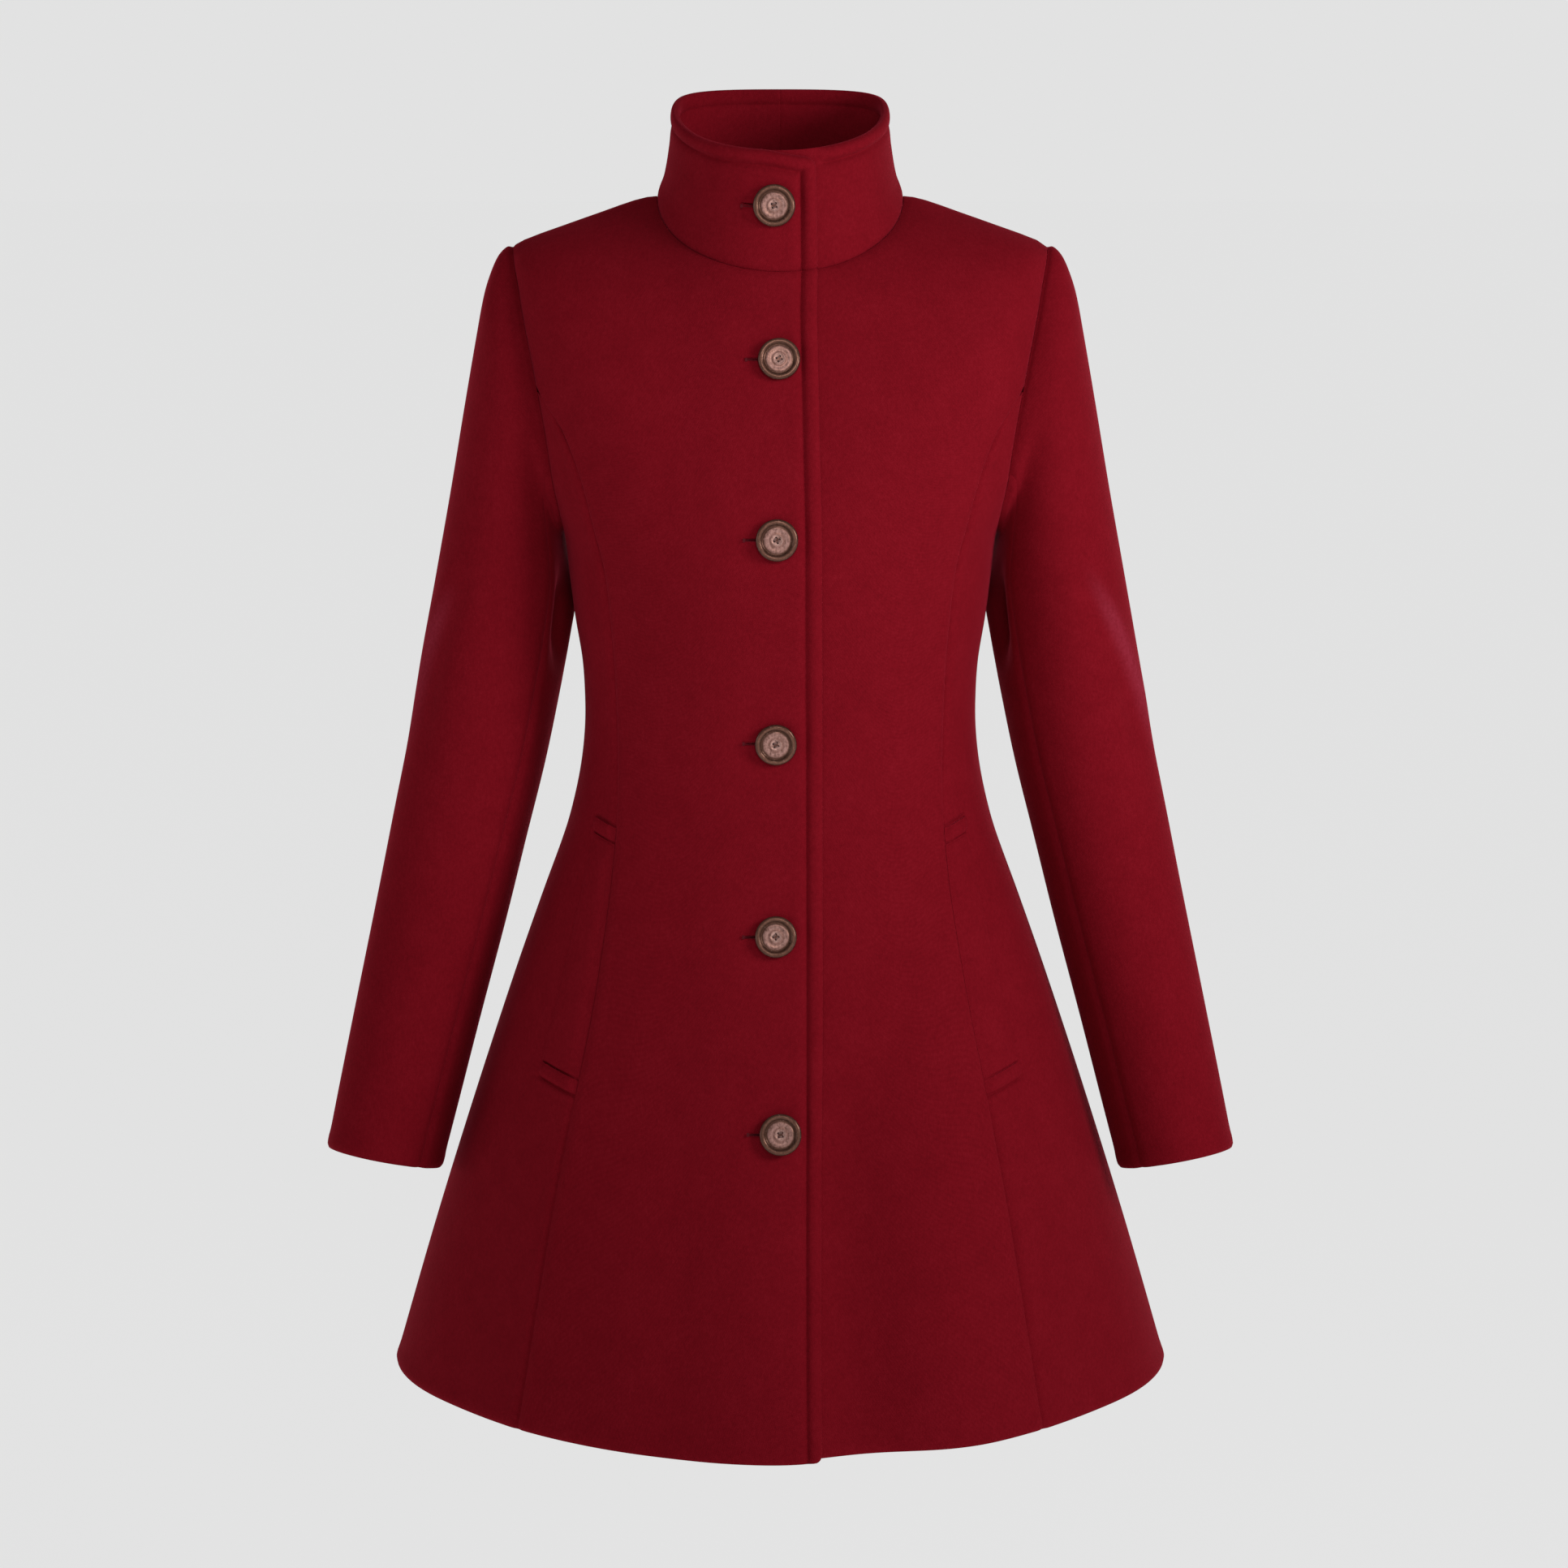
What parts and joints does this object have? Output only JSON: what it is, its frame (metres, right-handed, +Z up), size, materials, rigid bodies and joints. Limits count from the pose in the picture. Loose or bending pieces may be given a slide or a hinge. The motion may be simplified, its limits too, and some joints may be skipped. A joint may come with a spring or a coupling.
{
  "type": "coat",
  "caption": "Fitted, flared wool coat with a stand collar, buttoned front, princess seams, slanted welt pockets and long set-in sleeves, filled out as worn.",
  "frame": {"origin": "midway between the two points where the neck seam meets the shoulder seams, where the coat is held by the wearer's shoulders", "axes": "+Z up, the front faces -Y, +X is the wearer's left"},
  "size_m": [0.6404, 0.4452, 0.9004],
  "materials": {
    "wool": "thick napped wool cloth, matt with a soft sheen",
    "horn_button": "polished horn look, dark rim and mottled lighter centre"
  },
  "bodies": {
    "root": {"front_right": "wool", "front_left": "wool", "side_front_right": "wool", "side_front_left": "wool", "back_right": "wool", "back_left": "wool", "collar_right": "wool", "collar_left": "wool", "upper_sleeve_right": "wool", "upper_sleeve_left": "wool", "under_sleeve_right": "wool", "under_sleeve_left": "wool", "pocket_welt_right": "wool", "pocket_welt_left": "wool", "pocket_bar_top_right": "wool", "pocket_bar_top_left": "wool", "pocket_bar_bottom_right": "wool", "pocket_bar_bottom_left": "wool", "button_1": "horn_button", "button_2": "horn_button", "button_3": "horn_button", "button_4": "horn_button", "button_5": "horn_button", "button_6": "horn_button"}
  },
  "joints": []
}
